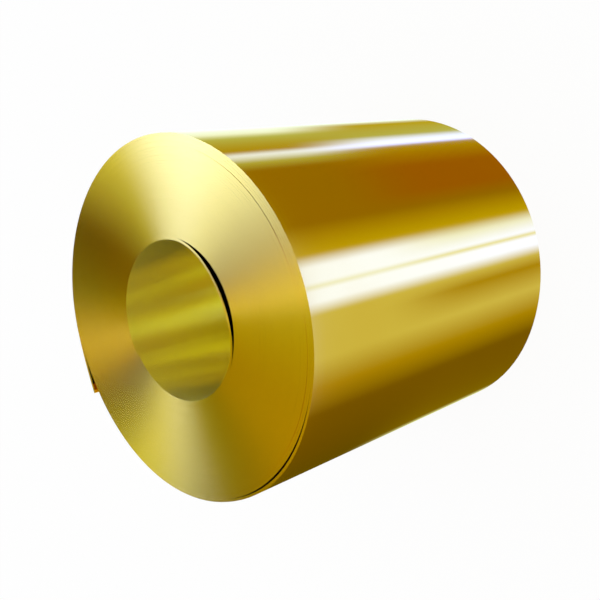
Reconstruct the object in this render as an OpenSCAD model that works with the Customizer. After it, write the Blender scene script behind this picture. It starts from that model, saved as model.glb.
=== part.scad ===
// Coil of polished brass strip, standing on its back end with its bore upright.
// The Z axis is the coil's axis. Z = 0 is the back end and the front end is up. Directions round
// the axis are in degrees, anticlockwise from +X as seen from the front.

/* [Strip] */
// Width of the strip, which is the coil's length along its axis
strip_w = 1219; // [620:1:1500]
// Thickness of the strip
strip_t = 8; // [5:0.5:10]

/* [Winding] */
// Diameter of the mandrel that the strip was wound on
bore_d = 508; // [400:1:610]
// Number of turns from the bore to the outside
turns = 40; // [20:1:48]

/* [Free outer end] */
// Direction of the cut edge of the strip
tail_az = 216.5; // [200:0.5:230]
// Arc over which the strip has sprung off the coil before the cut edge
tail_arc = 20.5; // [14:0.5:30]
// Height of the gap under the cut edge
tail_gap = 17; // [10:1:20]
// How far the turn under the cut edge is pressed in below its own circle
tail_flat = 4; // [2:0.5:6]
// Arc past the cut edge over which the last turn comes up to its full height
tail_ramp = 58; // [45:1:75]

/* [Slack outer turn] */
// Direction of the middle of the slack stretch
slack_az = 321.5; // [315:0.5:330]
// Arc of the slack stretch
slack_arc = 47; // [36:1:60]
// Widest gap between the slack stretch and the turn under it
slack_gap = 7; // [4:0.5:9]

/* [Buckled inner turn] */
// Direction of the middle of the buckle
buckle_az = 36; // [20:1:60]
// Arc that the buckle takes up at the front end
buckle_arc = 108; // [90:1:120]
// How far the buckle reaches into the bore at the front end
buckle_in = 27; // [20:1:32]
// Depth from the front end at which the turn is round again
buckle_depth = 560; // [300:10:600]
// How much the rest of the bore has opened at the front end, on the radius
bore_flare = 3; // [1:0.5:4]

/* [Turn edges] */
// Width of the seam between the rounded edges of two turns
seam_w = 1.6; // [0.8:0.1:2.4]
// Depth of the seam
seam_d = 1.2; // [0.6:0.1:2]

/* [Hidden] */
brass = [0.79, 0.66, 0.24];
arc_fn = 180;
bore_r = bore_d / 2;
coil_r = bore_r + turns * strip_t;
// Radius of the turn under the outermost one
under_r = coil_r - strip_t;
// Where the strip begins to spring off
root_az = tail_az - tail_arc;
// A gap starts this many degrees past the end of its stretch, so that it has a blunt end
root_arc = 2;
// How far added stretches reach into the turn below
root_depth = strip_t / 2;
// Height at which the bore begins to open towards the front
flare_z = strip_w - buckle_depth;
// Longer than any part of the coil, for cutting tools
reach = 2 * coil_r + strip_w;
// How far cutting tools stand out past the ends
past_end = 1;

// Point at a distance from the axis in a direction
function polar(r, az) = [r * cos(az), r * sin(az)];
// Centre of the circle through three points
function circle_centre(a, b, c) =
    let (d = 2 * (a.x * (b.y - c.y) + b.x * (c.y - a.y) + c.x * (a.y - b.y)))
    [(a * a) * (b.y - c.y) + (b * b) * (c.y - a.y) + (c * c) * (a.y - b.y),
     (a * a) * (c.x - b.x) + (b * b) * (a.x - c.x) + (c * c) * (b.x - a.x)] / d;

// Disc whose edge runs through three points, grown by a wall
module disc_through(a, b, c, wall = 0) {
    centre = circle_centre(a, b, c);
    translate(centre) circle(r = norm(a - centre) + wall, $fn = arc_fn);
}

// Sector between two directions less than 150 degrees apart
module sector(from_az, to_az) {
    polygon([[0, 0], polar(reach, from_az), polar(reach, (from_az + to_az) / 2), polar(reach, to_az)]);
}

// Cutting tool with a drawn section, through the coil from end to end
module cut_through() {
    translate([0, 0, -past_end]) linear_extrude(strip_w + 2 * past_end) children();
}

// Notches along one end of the profile, from the inside out, where neighbouring turns meet
function notches(z, inwards) = [
    for (turn = [1 : turns - 1], p = [[-seam_w / 2, 0], [0, inwards], [seam_w / 2, 0]])
        [bore_r + turn * strip_t + p[0], z + p[1]]
];

// Every turn as one turned solid, still without its bore
module wound_turns() {
    back = notches(0, seam_d);
    front = notches(strip_w, -seam_d);
    rotate_extrude($fn = arc_fn) polygon(concat(
        [[0, 0]], back, [[coil_r, 0], [coil_r, strip_w]],
        [for (i = [len(front) - 1 : -1 : 0]) front[i]], [[0, strip_w]]
    ));
}

// Disc of the turn below the free end, a little flattened there and rising to the full radius
module under_disc() {
    disc_through(polar(under_r, root_az), polar(under_r - tail_flat, tail_az),
        polar(coil_r, tail_az + tail_ramp));
}

// Disc that the sprung stretch is a rim of: it touches the turn below where the stretch begins
module sprung_disc(wall) {
    top_r = under_r + tail_gap;
    back = (top_r * top_r - under_r * under_r) / (2 * (under_r - top_r * cos(tail_arc)));
    translate(polar(-back, root_az)) circle(r = under_r + back + wall, $fn = arc_fn);
}

// Disc that the slack stretch is a rim of
module slack_disc(wall) {
    half_arc = slack_arc / 2;
    disc_through(polar(under_r, slack_az - half_arc), polar(under_r + slack_gap, slack_az),
        polar(under_r, slack_az + half_arc), wall);
}

// Stretches of the last turn that stand off the coil, before the room under them is cut
module loose_stretches() {
    difference() {
        union() {
            intersection() {
                sprung_disc(strip_t);
                sector(root_az, tail_az);
            }
            intersection() {
                slack_disc(strip_t);
                sector(slack_az - slack_arc / 2, slack_az + slack_arc / 2);
            }
        }
        circle(r = under_r - root_depth, $fn = arc_fn);
    }
}

// Room under the sprung stretch, open at the cut edge
module sprung_room() {
    difference() {
        intersection() {
            sprung_disc(0);
            sector(root_az + root_arc, tail_az + root_arc);
        }
        under_disc();
    }
}

// Room between the slack stretch and the turn under it
module slack_room() {
    half_arc = slack_arc / 2 - root_arc;
    difference() {
        intersection() {
            slack_disc(0);
            sector(slack_az - half_arc, slack_az + half_arc);
        }
        circle(r = under_r, $fn = arc_fn);
    }
}

// What the last turn lacks past the cut edge
module ramp_room() {
    difference() {
        sector(tail_az, tail_az + tail_ramp);
        under_disc();
    }
}

// Leaning cylinder that the buckled stretch of the first turn is bent to. It leans outwards with
// depth, until it clears the bore.
module buckle_form(wall) {
    half_arc = buckle_arc / 2;
    near_r = bore_r - buckle_in;
    centre = circle_centre(polar(bore_r, -half_arc), [near_r, 0], polar(bore_r, half_arc));
    rotate(buckle_az) translate([centre.x, 0, strip_w])
        rotate([0, -atan(buckle_in / buckle_depth), 0])
            cylinder(r = near_r - centre.x + wall, h = 4 * strip_w, center = true, $fn = arc_fn);
}

// Round bore, opening a little towards the front over the depth of the buckle
module round_bore() {
    front_r = bore_r + bore_flare;
    rotate_extrude($fn = arc_fn) polygon([
        [0, -past_end], [bore_r, -past_end], [bore_r, flare_z],
        [front_r, strip_w], [front_r, strip_w + past_end], [0, strip_w + past_end]
    ]);
}

// The free bore, and the pointed gap behind the buckled stretch
module bore_and_gap() {
    intersection() {
        round_bore();
        buckle_form(0);
    }
    difference() {
        cut_through() circle(r = bore_r + strip_t, $fn = arc_fn);
        buckle_form(strip_t);
    }
}

module strip_coil() {
    color(brass) difference() {
        union() {
            difference() {
                wound_turns();
                cut_through() ramp_room();
            }
            linear_extrude(strip_w) loose_stretches();
        }
        cut_through() sprung_room();
        cut_through() slack_room();
        bore_and_gap();
    }
}

strip_coil();
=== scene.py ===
"""Coil of polished brass strip, standing on its back end with its bore upright.

The frame's Z axis is the coil's axis, and Z = 0 is the floor. Lengths are in metres. Directions
round the axis are in degrees, anticlockwise from +X as seen from above.
"""

import logging
import math
from dataclasses import dataclass, field
from enum import Enum

import bpy
from mathutils import Matrix, Vector


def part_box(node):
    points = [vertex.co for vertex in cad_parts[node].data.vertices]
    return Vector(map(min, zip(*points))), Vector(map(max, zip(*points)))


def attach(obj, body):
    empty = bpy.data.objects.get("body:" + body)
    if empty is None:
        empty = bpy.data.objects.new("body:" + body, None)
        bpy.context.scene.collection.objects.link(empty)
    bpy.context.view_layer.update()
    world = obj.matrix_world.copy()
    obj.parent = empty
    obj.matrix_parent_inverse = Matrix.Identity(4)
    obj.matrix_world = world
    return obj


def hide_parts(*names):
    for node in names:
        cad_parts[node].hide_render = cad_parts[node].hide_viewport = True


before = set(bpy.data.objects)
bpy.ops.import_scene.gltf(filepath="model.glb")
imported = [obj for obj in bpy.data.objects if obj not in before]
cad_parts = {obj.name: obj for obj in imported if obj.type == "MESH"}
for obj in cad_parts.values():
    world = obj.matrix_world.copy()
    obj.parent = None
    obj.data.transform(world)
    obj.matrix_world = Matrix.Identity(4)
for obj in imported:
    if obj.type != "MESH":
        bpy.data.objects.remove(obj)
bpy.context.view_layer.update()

LOG = logging.getLogger("brass_coil")
CAD_NODE = "strip_coil"
UV_NAME = "UVMap"
FULL_TURN = 360.0

Colour = tuple[float, float, float]
# Colour of clean brass
BRASS: Colour = (0.70, 0.49, 0.12)


class Term:
    """A socket or a plain number, with sums on it written as Math nodes."""

    def __init__(self, tree: bpy.types.NodeTree, value: "bpy.types.NodeSocket | float") -> None:
        """Keeps the tree that further nodes go into, and the socket or number."""
        self.tree = tree
        self.value = value

    def plug(self, socket: bpy.types.NodeSocket) -> None:
        """Feeds this term to a node's input.

        Args:
            socket: The input that takes the term.
        """
        if isinstance(self.value, bpy.types.NodeSocket):
            self.tree.links.new(self.value, socket)
        else:
            socket.default_value = self.value

    def apply(self, operation: str, *others: "Term | float") -> "Term":
        """Adds one Math node.

        Args:
            operation: Name of the node's operation.
            others: Operands after this term.

        Returns:
            The node's result.
        """
        node = self.tree.nodes.new("ShaderNodeMath")
        node.operation = operation
        for socket, operand in zip(node.inputs, (self, *others)):
            term = operand if isinstance(operand, Term) else Term(self.tree, float(operand))
            term.plug(socket)
        return Term(self.tree, node.outputs[0])

    def __add__(self, other: "Term | float") -> "Term":
        """Sum."""
        return self.apply("ADD", other)

    def __sub__(self, other: "Term | float") -> "Term":
        """Difference."""
        return self.apply("SUBTRACT", other)

    def __rsub__(self, other: float) -> "Term":
        """Number less this term."""
        return Term(self.tree, float(other)).apply("SUBTRACT", self)

    def __mul__(self, other: "Term | float") -> "Term":
        """Product."""
        return self.apply("MULTIPLY", other)

    def __truediv__(self, other: "Term | float") -> "Term":
        """Quotient."""
        return self.apply("DIVIDE", other)

    def __neg__(self) -> "Term":
        """Opposite."""
        return self.apply("MULTIPLY", -1.0)

    def __gt__(self, other: "Term | float") -> "Term":
        """1 where this term is greater, else 0."""
        return self.apply("GREATER_THAN", other)

    def __lt__(self, other: "Term | float") -> "Term":
        """1 where this term is less, else 0."""
        return self.apply("LESS_THAN", other)

    def clamped(self) -> "Term":
        """This term held between 0 and 1."""
        return self.apply("MINIMUM", 1.0).apply("MAXIMUM", 0.0)

    def swell(self, centre: "Term | float", arc: "Term | float") -> "Term":
        """Smooth swelling over an arc round the axis, for a term that is a direction.

        Args:
            centre: Direction of the swelling's crest, in degrees.
            arc: Arc that the swelling takes up, in degrees.

        Returns:
            1 at the crest, falling smoothly to 0 at both ends of the arc and beyond them.
        """
        turned = (self - centre).apply("WRAP", FULL_TURN / 2, -FULL_TURN / 2)
        share = turned / (Term(self.tree, 0.5) * arc)
        return (1.0 - share * share).clamped().apply("POWER", 2.0)


def add_node(tree: bpy.types.NodeTree, kind: str, values: dict | None = None,
             **settings: object) -> bpy.types.Node:
    """Adds a node and sets it up.

    Args:
        tree: The tree that the node goes into.
        kind: The node's type name.
        values: Input name or place to a number, tuple, Term or socket.
        settings: The node's own properties.

    Returns:
        The new node.
    """
    node = tree.nodes.new(kind)
    for name, setting in settings.items():
        setattr(node, name, setting)
    for key, value in (values or {}).items():
        if isinstance(value, (Term, bpy.types.NodeSocket)):
            term = value if isinstance(value, Term) else Term(tree, value)
            term.plug(node.inputs[key])
        else:
            node.inputs[key].default_value = value
    return node


class Skin(Enum):
    """Stretches of the strip's skin, by the tree input that takes their finish."""

    ROLLED = "Rolled Finish"
    EDGES = "Edge Finish"
    BORE = "Bore Finish"


@dataclass(frozen=True)
class Stretch:
    """Stretch of a turn that stands off the plain winding.

    Attributes:
        centre: Direction of its middle, in degrees.
        arc: Arc that it takes up, in degrees.
        height: How far it stands off at its middle.
    """

    centre: float
    arc: float
    height: float


@dataclass
class WoundStrip:
    """The whole coil: one strip, wound anticlockwise from the bore to its sprung free end.

    Attributes:
        width: Width of the strip, which is the coil's height.
        bore_radius: Radius of the mandrel that the strip was wound on.
        pitch: Growth of the radius with each turn.
        thickness: Thickness of the strip, a little less than the pitch.
        turns: Turns from the inner end to the free end.
        steps: Straight steps in one turn.
        corner: Radius on the corners of the strip's edges.
        free_end: Direction of both ends of the strip, in degrees.
        fill_arc: Arc past the free end over which the coil comes up to its full radius.
        spring: Arc over which the free end has sprung off, and how far.
        dent: Flattened stretch under the free end.
        slack: Slack stretch of the outer turn.
        buckle: Stretch of the inner turn that is buckled into the bore.
        buckle_share: Share of the width over which the buckle dies out, from the front end.
        stagger: How far the turns' edges stand out of line, to either side.
        stagger_rate: Changes of that stagger in one turn.
        seed: Start value of the stagger.
        ledge_turn: Turn from which the outer turns lie a little lower.
        ledge: How much lower they lie.
        finishes: Material of each stretch of the skin.
    """

    width: float
    bore_radius: float = 0.25
    pitch: float = 0.0081
    thickness: float = 0.00806
    turns: int = 39
    steps: int = 104
    corner: float = 0.0001
    free_end: float = 216.5
    fill_arc: float = 68.0
    spring: Stretch = Stretch(centre=216.5, arc=20.5, height=0.0225)
    dent: Stretch = Stretch(centre=222.0, arc=90.0, height=0.004)
    slack: Stretch = Stretch(centre=321.5, arc=66.0, height=0.006)
    buckle: Stretch = Stretch(centre=33.0, arc=114.0, height=0.0215)
    buckle_share: float = 0.5
    stagger: float = 0.0004
    stagger_rate: float = 0.73
    seed: float = 4.0
    ledge_turn: float = 35.4
    ledge: float = 0.0007
    finishes: dict[Skin, bpy.types.Material] = field(default_factory=dict)

    def sizes(self) -> dict[str, float]:
        """Sizes that the tree takes, by the name of their input."""
        named = {
            "Width": self.width,
            "Bore Radius": self.bore_radius,
            "Pitch": self.pitch,
            "Thickness": self.thickness,
            "Turns": self.turns,
            "Steps": self.turns * self.steps + 1,
            "Corner": self.corner,
            "Free End": self.free_end,
            "Fill Arc": self.fill_arc,
            "Buckle Share": self.buckle_share,
            "Stagger": self.stagger,
            "Stagger Rate": self.stagger_rate,
            "Seed": self.seed,
            "Ledge Turn": self.ledge_turn,
            "Ledge": self.ledge,
        }
        for name in ("spring", "dent", "slack", "buckle"):
            stretch = getattr(self, name)
            named[f"{name.title()} Centre"] = stretch.centre
            named[f"{name.title()} Arc"] = stretch.arc
            named[f"{name.title()} Height"] = stretch.height
        return named

    def make_tree(self) -> bpy.types.NodeTree:
        """Builds the Geometry Nodes tree that winds the strip.

        Returns:
            The tree, with a named input for each size and finish.
        """
        tree = bpy.data.node_groups.new("Wound Strip", "GeometryNodeTree")
        for name in self.sizes():
            kind = "NodeSocketInt" if name == "Steps" else "NodeSocketFloat"
            tree.interface.new_socket(name, in_out="INPUT", socket_type=kind)
        for skin in Skin:
            tree.interface.new_socket(skin.value, in_out="INPUT", socket_type="NodeSocketMaterial")
        tree.interface.new_socket("Strip", in_out="OUTPUT", socket_type="NodeSocketGeometry")
        given = tree.nodes.new("NodeGroupInput")
        size = {name: Term(tree, given.outputs[name]) for name in self.sizes()}

        section = self._section(tree, size)
        path = self._path(tree, size)
        swept = add_node(tree, "GeometryNodeCurveToMesh", {
            "Curve": path.outputs["Geometry"],
            "Profile Curve": section.outputs["Geometry"],
            "Fill Caps": True,
        })
        along = Term(tree, path.outputs["Along"])
        split = add_node(tree, "ShaderNodeSeparateXYZ", {0: section.outputs["Across"]})
        out, up = (Term(tree, split.outputs[axis]) for axis in ("X", "Y"))

        turn = along * size["Turns"]
        wound = self._wind(tree, size, swept.outputs["Mesh"], turn, out, up)
        mapped = self._map(tree, size, wound, turn, out, up)
        edged = self._crease(tree, mapped)
        real = add_node(tree, "GeometryNodeRealizeInstances", {"Geometry": edged})
        dressed = self._dress(tree, size, real.outputs["Geometry"], given, along, turn, out, up)
        finished = add_node(tree, "NodeGroupOutput")
        tree.links.new(dressed, finished.inputs["Strip"])
        return tree

    @staticmethod
    def _section(tree: bpy.types.NodeTree, size: dict[str, Term]) -> bpy.types.Node:
        """Draws the strip's section, out of the coil along X and up along Y.

        Args:
            tree: The tree.
            size: The tree's sizes.

        Returns:
            The node that puts out the section and each point's place on it.
        """
        outline = add_node(tree, "GeometryNodeCurvePrimitiveQuadrilateral", {
            "Width": size["Thickness"], "Height": size["Width"] - (size["Stagger"] + size["Ledge"]) * 2.0,
        })
        corner_place = add_node(tree, "GeometryNodeInputIndex")
        on_tall_side = Term(tree, corner_place.outputs["Index"]).apply("MODULO", 2.0)
        tall = add_node(tree, "GeometryNodeSubdivideCurve", {
            "Curve": outline.outputs["Curve"], "Cuts": on_tall_side * 3.0,
        })
        eased = add_node(tree, "GeometryNodeFilletCurve", {
            "Curve": tall.outputs["Curve"], "Count": 1, "Radius": size["Corner"],
        }, mode="POLY")
        return _capture(tree, eased.outputs["Curve"], "VECTOR", "Across",
                        add_node(tree, "GeometryNodeInputPosition").outputs["Position"])

    @staticmethod
    def _path(tree: bpy.types.NodeTree, size: dict[str, Term]) -> bpy.types.Node:
        """Lays out the strip's length as a straight row of steps, still to be wound.

        Args:
            tree: The tree.
            size: The tree's sizes.

        Returns:
            The node that puts out the row and each step's share of the length.
        """
        line = add_node(tree, "GeometryNodeCurvePrimitiveLine", {"End": (0.0, 1.0, 0.0)})
        row = add_node(tree, "GeometryNodeResampleCurve", {
            "Curve": line.outputs["Curve"], "Count": size["Steps"],
        })
        return _capture(tree, row.outputs["Curve"], "FLOAT", "Along",
                        add_node(tree, "GeometryNodeSplineParameter").outputs["Factor"])

    @staticmethod
    def _wind(tree: bpy.types.NodeTree, size: dict[str, Term], mesh: bpy.types.NodeSocket,
              turn: Term, out: Term, up: Term) -> bpy.types.NodeSocket:
        """Winds the straight strip into the coil.

        Args:
            tree: The tree.
            size: The tree's sizes.
            mesh: The swept strip.
            turn: Turns from the inner end.
            out: Place across the strip's thickness.
            up: Place across its width, from its middle.

        Returns:
            The wound mesh.
        """
        from_end = turn - size["Turns"]
        azimuth = from_end * FULL_TURN + size["Free End"]
        spring = (from_end * FULL_TURN / size["Spring Arc"] + 1.0).clamped()
        part_turn = turn.apply("FRACT")
        fill = (part_turn * FULL_TURN / size["Fill Arc"]).clamped() * (1.0 - part_turn) * size["Pitch"]
        on_outer_turn = from_end > -1.0
        on_inner_turn = turn < 1.0
        front_share = (up / size["Width"] + size["Buckle Share"] - 0.5) / size["Buckle Share"]

        dent = azimuth.swell(size["Dent Centre"], size["Dent Arc"]) * size["Dent Height"]
        slack = azimuth.swell(size["Slack Centre"], size["Slack Arc"]) * size["Slack Height"]
        buckle = azimuth.swell(size["Buckle Centre"], size["Buckle Arc"]) * size["Buckle Height"]
        radius = (
            size["Bore Radius"] + size["Thickness"] * 0.5 + size["Pitch"] * turn + out
            + spring * spring * size["Spring Height"]
            + slack * on_outer_turn
            + (fill - dent) * turn / size["Turns"]
            - buckle * on_inner_turn * front_share.clamped()
        )
        noise = add_node(tree, "ShaderNodeTexNoise", {
            "W": turn * size["Stagger Rate"] + size["Seed"], "Scale": 1.0, "Detail": 2.0,
        }, noise_dimensions="1D")
        stagger = (Term(tree, noise.outputs["Fac"]) * 2.0 - 1.0) * size["Stagger"]
        # The edges come down to the ledge over an eighth of a turn
        ledge = ((turn - size["Ledge Turn"]) * 8.0).clamped() * -2.0 + 1.0
        angle = azimuth.apply("RADIANS")
        place = add_node(tree, "ShaderNodeCombineXYZ", {
            "X": radius * angle.apply("COSINE"),
            "Y": radius * angle.apply("SINE"),
            "Z": size["Width"] * 0.5 + up + stagger + ledge * size["Ledge"],
        })
        moved = add_node(tree, "GeometryNodeSetPosition", {
            "Geometry": mesh, "Position": place.outputs["Vector"],
        })
        return moved.outputs["Geometry"]

    @staticmethod
    def _map(tree: bpy.types.NodeTree, size: dict[str, Term], mesh: bpy.types.NodeSocket,
             turn: Term, out: Term, up: Term) -> bpy.types.NodeSocket:
        """Stores the UV map: metres along the strip, and metres across it.

        Args:
            tree: The tree.
            size: The tree's sizes.
            mesh: The wound mesh.
            turn: Turns from the inner end.
            out: Place across the strip's thickness.
            up: Place across its width, from its middle.

        Returns:
            The mapped mesh.
        """
        length = (size["Bore Radius"] * turn + size["Pitch"] * turn * turn * 0.5) * math.tau
        # The place across the thickness goes in too, so that no two lines on an edge are alike
        unrolled = add_node(tree, "ShaderNodeCombineXYZ", {"X": length, "Y": up + out * 1.7})
        stored = add_node(tree, "GeometryNodeStoreNamedAttribute", {
            "Geometry": mesh, "Name": UV_NAME, "Value": unrolled.outputs["Vector"],
        }, data_type="FLOAT2", domain="CORNER")
        return stored.outputs["Geometry"]

    @staticmethod
    def _crease(tree: bpy.types.NodeTree, mesh: bpy.types.NodeSocket) -> bpy.types.NodeSocket:
        """Shades the mesh smooth along the strip and sharp where its section turns.

        Args:
            tree: The tree.
            mesh: The mapped mesh.

        Returns:
            The shaded mesh.
        """
        smooth = add_node(tree, "GeometryNodeSetShadeSmooth", {"Geometry": mesh})
        bend = add_node(tree, "GeometryNodeInputMeshEdgeAngle")
        sharp = Term(tree, bend.outputs["Unsigned Angle"]) > math.radians(20.0)
        creased = add_node(tree, "GeometryNodeSetShadeSmooth", {
            "Geometry": smooth.outputs["Geometry"], "Selection": sharp, "Shade Smooth": False,
        }, domain="EDGE")
        return creased.outputs["Geometry"]

    @staticmethod
    def _dress(tree: bpy.types.NodeTree, size: dict[str, Term], mesh: bpy.types.NodeSocket,
               given: bpy.types.Node, along: Term, turn: Term, out: Term,
               up: Term) -> bpy.types.NodeSocket:
        """Gives each stretch of the skin its finish.

        Args:
            tree: The tree.
            size: The tree's sizes.
            mesh: The shaded mesh.
            given: The tree's input node.
            along: Share of the strip's length.
            turn: Turns from the inner end.
            out: Place across the strip's thickness.
            up: Place across its width, from its middle.

        Returns:
            The dressed mesh.
        """
        cut_end = (along - 0.5).apply("ABSOLUTE") > 0.49999
        edge = up.apply("ABSOLUTE") > size["Width"] * 0.5 - size["Stagger"] - size["Ledge"] - size["Corner"]
        faces_in = (-out) > size["Thickness"] * 0.49
        where = {
            Skin.ROLLED: Term(tree, 1.0),
            Skin.BORE: faces_in * (turn < 1.0),
            Skin.EDGES: edge.apply("MAXIMUM", cut_end),
        }
        for skin, selection in where.items():
            painted = add_node(tree, "GeometryNodeSetMaterial", {
                "Geometry": mesh, "Material": given.outputs[skin.value],
            })
            if skin is not Skin.ROLLED:
                selection.plug(painted.inputs["Selection"])
            mesh = painted.outputs["Geometry"]
        return mesh

    def build(self) -> bpy.types.Object:
        """Winds the strip into a plain mesh.

        Returns:
            The coil, at the origin.
        """
        tree = self.make_tree()
        coil = bpy.data.objects.new("wound_strip", bpy.data.meshes.new("wound_strip_start"))
        bpy.context.scene.collection.objects.link(coil)
        winding = coil.modifiers.new("Winding", "NODES")
        winding.node_group = tree
        values = self.sizes() | {skin.value: finish for skin, finish in self.finishes.items()}
        for socket in tree.interface.items_tree:
            if socket.in_out == "INPUT":
                winding[socket.identifier] = values[socket.name]
        view = bpy.context.evaluated_depsgraph_get()
        coil.data = bpy.data.meshes.new_from_object(coil.evaluated_get(view), depsgraph=view)
        coil.modifiers.remove(winding)
        coil.data.name = "wound_strip"
        return coil


def _capture(tree: bpy.types.NodeTree, geometry: bpy.types.NodeSocket, kind: str, name: str,
             value: bpy.types.NodeSocket) -> bpy.types.Node:
    """Keeps a value on each point, for use once the geometry has changed.

    Args:
        tree: The tree.
        geometry: The geometry whose points keep the value.
        kind: Data type of the value.
        name: Name of the value.
        value: The value.

    Returns:
        The node, with the geometry and the kept value as its outputs.
    """
    node = tree.nodes.new("GeometryNodeCaptureAttribute")
    node.capture_items.new(kind, name)
    tree.links.new(geometry, node.inputs["Geometry"])
    tree.links.new(value, node.inputs[name])
    return node


@dataclass(frozen=True)
class BrassFinish:
    """Finish of one stretch of the brass.

    Attributes:
        name: Name of the material.
        colour: Colour of clean metal; on the bore, a brighter, yellower colour that is painted light.
        stain: Colour of the tarnished patches.
        stain_share: How much of the stain's colour a patch takes.
        roughness: Middle of the roughness.
        roughness_spread: How much the fine lines change the roughness.
        line_length: Length of the fine lines along the strip.
        line_width: Distance between the fine lines.
        line_depth: Height of the fine lines.
        anisotropy: Stretch of the highlights across the fine lines.
        metallic: Share of bare metal; the rest is a dull film of oil.
    """

    name: str
    colour: Colour
    stain: Colour
    stain_share: float
    roughness: float
    roughness_spread: float
    line_length: float
    line_width: float
    line_depth: float
    anisotropy: float
    metallic: float = 1.0

    def build(self, lines: bpy.types.NodeTree, tarnish: bpy.types.NodeTree) -> bpy.types.Material:
        """Makes the material.

        Args:
            lines: Shader group of the fine lines.
            tarnish: Shader group of the tarnished patches.

        Returns:
            The material.
        """
        material = bpy.data.materials.new(self.name)
        material.use_nodes = True
        tree = material.node_tree
        tree.nodes.clear()
        fine = add_node(tree, "ShaderNodeGroup", node_tree=lines)
        fine.inputs["Length"].default_value = self.line_length
        fine.inputs["Width"].default_value = self.line_width
        patch = add_node(tree, "ShaderNodeGroup", node_tree=tarnish)
        share = Term(tree, patch.outputs["Patches"]) * self.stain_share
        tone = add_node(tree, "ShaderNodeMix", {
            "Factor": share, "A": (*self.colour, 1.0), "B": (*self.stain, 1.0),
        }, data_type="RGBA")
        lined = Term(tree, fine.outputs["Lines"])
        roughness = (lined - 0.5) * self.roughness_spread + self.roughness
        relief = add_node(tree, "ShaderNodeBump", {
            "Height": fine.outputs["Lines"], "Distance": self.line_depth, "Strength": 1.0,
        })
        tangent = add_node(tree, "ShaderNodeTangent", direction_type="UV_MAP", uv_map=UV_NAME)
        metal = add_node(tree, "ShaderNodeBsdfPrincipled", {
            "Base Color": tone.outputs["Result"],
            "Roughness": roughness,
            "Metallic": self.metallic,
            "Anisotropic": self.anisotropy,
            "Anisotropic Rotation": 0.25,
            "Normal": relief.outputs["Normal"],
            "Tangent": tangent.outputs["Tangent"],
        })
        out = add_node(tree, "ShaderNodeOutputMaterial")
        tree.links.new(metal.outputs["BSDF"], out.inputs["Surface"])
        return material


def make_line_group() -> bpy.types.NodeTree:
    """Builds the shader group of fine lines that run along the strip.

    Returns:
        The group, with inputs Length and Width and output Lines, from 0 to 1.
    """
    tree = bpy.data.node_groups.new("Fine Lines", "ShaderNodeTree")
    for name in ("Length", "Width"):
        tree.interface.new_socket(name, in_out="INPUT", socket_type="NodeSocketFloat")
    tree.interface.new_socket("Lines", in_out="OUTPUT", socket_type="NodeSocketFloat")
    given = tree.nodes.new("NodeGroupInput")
    unrolled = add_node(tree, "ShaderNodeUVMap", uv_map=UV_NAME)
    split = add_node(tree, "ShaderNodeSeparateXYZ", {0: unrolled.outputs["UV"]})
    place = add_node(tree, "ShaderNodeCombineXYZ", {
        "X": Term(tree, split.outputs["X"]) / Term(tree, given.outputs["Length"]),
        "Y": Term(tree, split.outputs["Y"]) / Term(tree, given.outputs["Width"]),
    })
    noise = add_node(tree, "ShaderNodeTexNoise", {
        "Vector": place.outputs["Vector"], "Scale": 1.0, "Detail": 3.0, "Roughness": 0.6,
    }, noise_dimensions="2D")
    result = add_node(tree, "NodeGroupOutput")
    tree.links.new(noise.outputs["Fac"], result.inputs["Lines"])
    return tree


def make_tarnish_group() -> bpy.types.NodeTree:
    """Builds the shader group of faint tarnished patches.

    Returns:
        The group, with output Patches, from 0 to 1.
    """
    tree = bpy.data.node_groups.new("Tarnish", "ShaderNodeTree")
    tree.interface.new_socket("Patches", in_out="OUTPUT", socket_type="NodeSocketFloat")
    place = add_node(tree, "ShaderNodeTexCoord")
    noise = add_node(tree, "ShaderNodeTexNoise", {
        "Vector": place.outputs["Object"], "Scale": 2.6, "Detail": 4.0, "Roughness": 0.5,
    })
    spread = add_node(tree, "ShaderNodeMapRange", {
        "Value": noise.outputs["Fac"], "From Min": 0.35, "From Max": 0.7,
    }, interpolation_type="SMOOTHSTEP")
    result = add_node(tree, "NodeGroupOutput")
    tree.links.new(spread.outputs["Result"], result.inputs["Patches"])
    return tree


class Tone(Enum):
    """Tones that clean brass shows when it mirrors the surroundings, as 8-bit colours."""

    WHITE = (255, 255, 240)
    PALE = (240, 235, 180)
    CREAM = (230, 215, 110)
    LIGHT = (205, 180, 60)
    OLIVE = (175, 160, 40)
    STONE = (170, 155, 120)
    GOLD = (190, 155, 0)
    AMBER = (170, 130, 0)
    MOSS = (145, 130, 5)
    BROWN = (145, 100, 0)
    RUST = (150, 85, 0)
    DARK = (115, 80, 0)
    SHADE = (90, 60, 0)
    NIGHT = (0, 0, 0)

    def light(self, gain: float) -> tuple[float, float, float, float]:
        """Finds the light that gives this tone in the brass.

        Args:
            gain: Brightness of the light.

        Returns:
            The light's colour.
        """
        share = [channel / 255 for channel in self.value]
        linear = [s / 12.92 if s < 0.04045 else ((s + 0.055) / 1.055) ** 2.4 for s in share]
        return (*(gain * shown / own for shown, own in zip(linear, BRASS)), 1.0)


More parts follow.
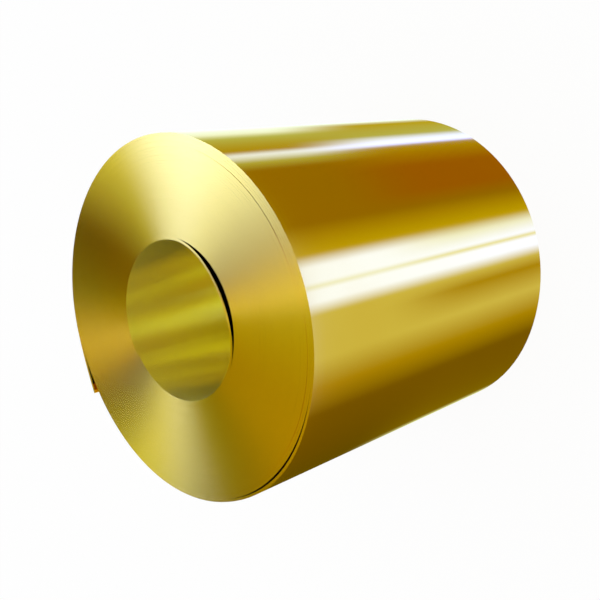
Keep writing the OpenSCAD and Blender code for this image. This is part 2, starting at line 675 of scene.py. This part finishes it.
@dataclass(frozen=True)
class Wheel:
    """Bands of light and dark surroundings, laid out like spokes round one direction.

    Attributes:
        bearing: Bearing of that direction round the coil's axis, in degrees.
        height: Its angle over the level, in degrees.
        gain: Brightness of all the bands.
        bands: Place of each band round the wheel, from -180 to 180 degrees, and its tone.
    """

    bearing: float
    height: float
    gain: float
    bands: tuple[tuple[float, Tone], ...]

    def add(self, tree: bpy.types.NodeTree, direction: bpy.types.NodeSocket) -> bpy.types.NodeSocket:
        """Adds the wheel's nodes.

        Args:
            tree: The world's tree.
            direction: The direction that is looked in.

        Returns:
            The colour seen in that direction.
        """
        bearing, height = math.radians(self.bearing), math.radians(self.height)
        out = math.cos(height)
        hub = Vector((math.cos(bearing) * out, math.sin(bearing) * out, math.sin(height)))
        start = (Vector((1.0, 0.0, 0.0)) - hub * hub.x).normalized()
        along, across = (
            Term(tree, add_node(tree, "ShaderNodeVectorMath", {0: direction, 1: axis},
                                operation="DOT_PRODUCT").outputs["Value"])
            for axis in (start, hub.cross(start))
        )
        place = across.apply("ARCTAN2", along) / math.tau + 0.5
        ramp = add_node(tree, "ShaderNodeValToRGB", {"Fac": place})
        stops = ramp.color_ramp.elements
        stops.remove(stops[-1])
        stops[0].position = 0.0
        stops[0].color = self.bands[0][1].light(self.gain)
        for spoke, tone in self.bands[1:]:
            stops.new(spoke / FULL_TURN + 0.5).color = tone.light(self.gain)
        return ramp.outputs["Color"]


# What the round side mirrors near the front end and near the back end
FRONT_SIDE = Wheel(bearing=0.0, height=90.0, gain=1.0, bands=(
    (-180.0, Tone.CREAM), (-166.0, Tone.SHADE), (-124.0, Tone.SHADE), (-62.0, Tone.DARK),
    (-44.0, Tone.AMBER), (-26.0, Tone.LIGHT), (2.0, Tone.LIGHT), (10.0, Tone.WHITE),
    (17.0, Tone.WHITE), (19.5, Tone.PALE), (22.0, Tone.WHITE), (32.0, Tone.WHITE),
    (40.0, Tone.GOLD), (60.0, Tone.BROWN), (106.0, Tone.BROWN), (114.0, Tone.OLIVE),
    (122.0, Tone.PALE), (127.0, Tone.AMBER), (147.0, Tone.OLIVE), (157.0, Tone.CREAM),
))
BACK_SIDE = Wheel(bearing=0.0, height=90.0, gain=1.0, bands=(
    (-180.0, Tone.CREAM), (-142.0, Tone.LIGHT), (-126.0, Tone.DARK), (-62.0, Tone.DARK),
    (-44.0, Tone.AMBER), (-26.0, Tone.LIGHT), (-7.0, Tone.AMBER), (2.0, Tone.LIGHT),
    (10.0, Tone.WHITE), (17.0, Tone.WHITE), (19.5, Tone.CREAM), (22.0, Tone.WHITE),
    (32.0, Tone.PALE), (40.0, Tone.GOLD), (60.0, Tone.BROWN), (72.0, Tone.RUST),
    (95.0, Tone.RUST), (118.0, Tone.AMBER), (122.0, Tone.WHITE), (127.0, Tone.PALE),
    (135.0, Tone.OLIVE), (160.0, Tone.AMBER), (178.0, Tone.CREAM),
))
# What the bore's wall shows, down through the open back end
BORE = Wheel(bearing=0.0, height=90.0, gain=1.7, bands=(
    (-180.0, Tone.OLIVE), (-150.0, Tone.AMBER), (-115.0, Tone.AMBER), (-85.0, Tone.DARK),
    (-60.0, Tone.BROWN), (-30.0, Tone.STONE), (15.0, Tone.STONE), (60.0, Tone.MOSS),
    (120.0, Tone.MOSS), (160.0, Tone.OLIVE),
))
# What the satin end mirrors
END = Wheel(bearing=200.0, height=50.0, gain=2.6, bands=(
    (-180.0, Tone.NIGHT), (-167.0, Tone.NIGHT), (-156.0, Tone.DARK), (-147.0, Tone.NIGHT),
    (-132.0, Tone.MOSS), (-112.0, Tone.NIGHT), (-60.0, Tone.BROWN), (-30.0, Tone.DARK),
    (12.0, Tone.MOSS), (26.0, Tone.LIGHT), (38.0, Tone.GOLD), (50.0, Tone.DARK),
    (70.0, Tone.NIGHT), (96.0, Tone.OLIVE), (120.0, Tone.PALE), (144.0, Tone.PALE),
    (160.0, Tone.OLIVE), (180.0, Tone.NIGHT),
))


@dataclass(frozen=True)
class Studio:
    """Floor, surroundings and camera.

    Attributes:
        coil_width: Height of the coil.
        unit: Unit of the camera's distances, about the coil's outside radius.
        swing: How far the camera has swung off the coil's axis, in degrees.
        rise: How far it has risen off the level plane through that axis, in degrees.
        distance: Its distance from the coil's middle, in units.
        offset: How far the coil's middle is right of and above the view's middle, in units.
        lens: Its focal length, in millimetres.
        level_axis: Axis along which the surroundings change, nearly the coil's own axis.
        floor_glow: Share of the floor that glows white to the eye.
    """

    coil_width: float
    unit: float = 0.5755
    swing: float = 43.2085
    rise: float = 14.0489
    distance: float = 5.4736
    offset: tuple[float, float] = (0.0624, 0.0700)
    lens: float = 52.97
    level_axis: tuple[float, float, float] = (0.056, 0.0205, 1.0)
    floor_glow: float = 0.92

    def add_camera(self) -> bpy.types.Object:
        """Adds the camera, rolled so that it sees the standing coil as the photograph does.

        Returns:
            The camera.
        """
        swing, rise = math.radians(self.swing), math.radians(self.rise)
        back = Vector((math.sin(swing) * math.cos(rise), math.sin(rise), math.cos(swing) * math.cos(rise)))
        right = Vector((math.cos(swing), 0.0, -math.sin(swing)))
        up = back.cross(right)
        middle = Vector((0.0, 0.0, self.coil_width / 2))
        reach = back * self.distance - right * self.offset[0] - up * self.offset[1]
        camera = bpy.data.objects.new("camera", bpy.data.cameras.new("camera"))
        camera.data.lens = self.lens
        camera.data.sensor_width = 36.0
        turned = Matrix((right, up, back)).transposed().to_4x4()
        camera.matrix_world = Matrix.Translation(middle + reach * self.unit) @ turned
        bpy.context.scene.collection.objects.link(camera)
        bpy.context.scene.camera = camera
        return camera

    @staticmethod
    def _fade(tree: bpy.types.NodeTree, value: Term, span: tuple[float, float], first: bpy.types.NodeSocket,
              second: bpy.types.NodeSocket) -> bpy.types.NodeSocket:
        """Adds a smooth fade from one colour to another.

        Args:
            tree: The world's tree.
            value: What the fade goes by.
            span: Values at which the fade begins and ends.
            first: Colour before the fade.
            second: Colour after it.

        Returns:
            The faded colour.
        """
        share = add_node(tree, "ShaderNodeMapRange", {
            "Value": value, "From Min": span[0], "From Max": span[1],
        }, interpolation_type="SMOOTHSTEP")
        mixed = add_node(tree, "ShaderNodeMix", {
            "Factor": share.outputs["Result"], "A": first, "B": second,
        }, data_type="RGBA")
        return mixed.outputs["Result"]

    def add_surroundings(self) -> None:
        """Makes the world: plain white, but with light and dark bands where the metal mirrors it."""
        world = bpy.data.worlds.new("studio")
        bpy.context.scene.world = world
        world.use_nodes = True
        world.cycles.sampling_method = "NONE"
        tree = world.node_tree
        tree.nodes.clear()
        direction = add_node(tree, "ShaderNodeTexCoord").outputs["Generated"]
        level = Term(tree, add_node(tree, "ShaderNodeVectorMath", {
            0: direction, 1: self.level_axis,
        }, operation="DOT_PRODUCT").outputs["Value"])
        front, back, bore, end = (
            wheel.add(tree, direction) for wheel in (FRONT_SIDE, BACK_SIDE, BORE, END)
        )
        # Levels at which one ring of lights gives way to the next
        side = self._fade(tree, level, (-0.73, -0.8), front, back)
        below = self._fade(tree, level, (-0.675, -0.655), side, bore)
        mirrored = self._fade(tree, level, (-0.25, 0.0), below, end)
        seen = add_node(tree, "ShaderNodeLightPath")
        colour = add_node(tree, "ShaderNodeMix", {
            "Factor": seen.outputs["Is Glossy Ray"], "A": (1.0, 1.0, 1.0, 1.0), "B": mirrored,
        }, data_type="RGBA")
        background = add_node(tree, "ShaderNodeBackground", {"Color": colour.outputs["Result"]})
        out = add_node(tree, "ShaderNodeOutputWorld")
        tree.links.new(background.outputs["Background"], out.inputs["Surface"])

    def add_floor(self) -> bpy.types.Object:
        """Adds the pale floor, which the metal doesn't mirror.

        Returns:
            The floor.
        """
        half = 40.0
        mesh = bpy.data.meshes.new("floor")
        corners = [(-half, -half, 0), (half, -half, 0), (half, half, 0), (-half, half, 0)]
        mesh.from_pydata(corners, [], [(0, 1, 2, 3)])
        floor = bpy.data.objects.new("floor", mesh)
        bpy.context.scene.collection.objects.link(floor)
        material = bpy.data.materials.new("pale_floor")
        material.use_nodes = True
        tree = material.node_tree
        tree.nodes.clear()
        matt = add_node(tree, "ShaderNodeBsdfDiffuse", {"Color": (0.9, 0.9, 0.9, 1.0)})
        glow = add_node(tree, "ShaderNodeEmission", {"Color": (1.0, 1.0, 1.0, 1.0), "Strength": 1.0})
        seen = add_node(tree, "ShaderNodeLightPath")
        glowing = Term(tree, seen.outputs["Is Camera Ray"]) * self.floor_glow
        blend = add_node(tree, "ShaderNodeMixShader", {
            0: glowing, 1: matt.outputs["BSDF"], 2: glow.outputs["Emission"],
        })
        out = add_node(tree, "ShaderNodeOutputMaterial")
        tree.links.new(blend.outputs["Shader"], out.inputs["Surface"])
        mesh.materials.append(material)
        floor.visible_glossy = False
        floor.visible_shadow = False
        return floor

    def build(self) -> bpy.types.Object:
        """Sets up the whole studio.

        Returns:
            The floor.
        """
        self.add_camera()
        self.add_surroundings()
        bpy.context.scene.view_settings.view_transform = "Standard"
        return self.add_floor()


FINISHES: dict[Skin, BrassFinish] = {
    Skin.ROLLED: BrassFinish(
        name="bright_rolled_brass", colour=BRASS, stain=(0.66, 0.43, 0.09), stain_share=0.3,
        roughness=0.07, roughness_spread=0.03, line_length=0.35, line_width=0.004,
        line_depth=0.000004, anisotropy=0.5),
    Skin.EDGES: BrassFinish(
        name="slit_edge_brass", colour=BRASS, stain=(0.68, 0.46, 0.11), stain_share=0.15,
        roughness=0.22, roughness_spread=0.04, line_length=1.2, line_width=0.004,
        line_depth=0.000001, anisotropy=1.0),
    # Painted light: the bore's brass is brighter and yellower than the clean brass elsewhere, so that the
    # deep bore looks lit
    Skin.BORE: BrassFinish(
        name="satin_brass_painted_brighter", colour=(0.93, 0.84, 0.19), stain=(0.91, 0.81, 0.17),
        stain_share=0.3, roughness=0.20, roughness_spread=0.08, line_length=0.30,
        line_width=0.003, line_depth=0.00001, anisotropy=0.8, metallic=0.86),
}


def main() -> None:
    """Builds the studio and the coil."""
    logging.basicConfig(level=logging.INFO, format="%(name)s: %(message)s")
    low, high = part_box(CAD_NODE)
    width = high.z - low.z
    floor = Studio(coil_width=width).build()
    lines, tarnish = make_line_group(), make_tarnish_group()
    finishes = {skin: finish.build(lines, tarnish) for skin, finish in FINISHES.items()}
    coil = WoundStrip(width=width, finishes=finishes).build()
    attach(coil, "root")
    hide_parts(CAD_NODE)
    LOG.info("%s: %d faces", coil.name, len(coil.data.polygons))


if __name__ == "__main__":
    main()
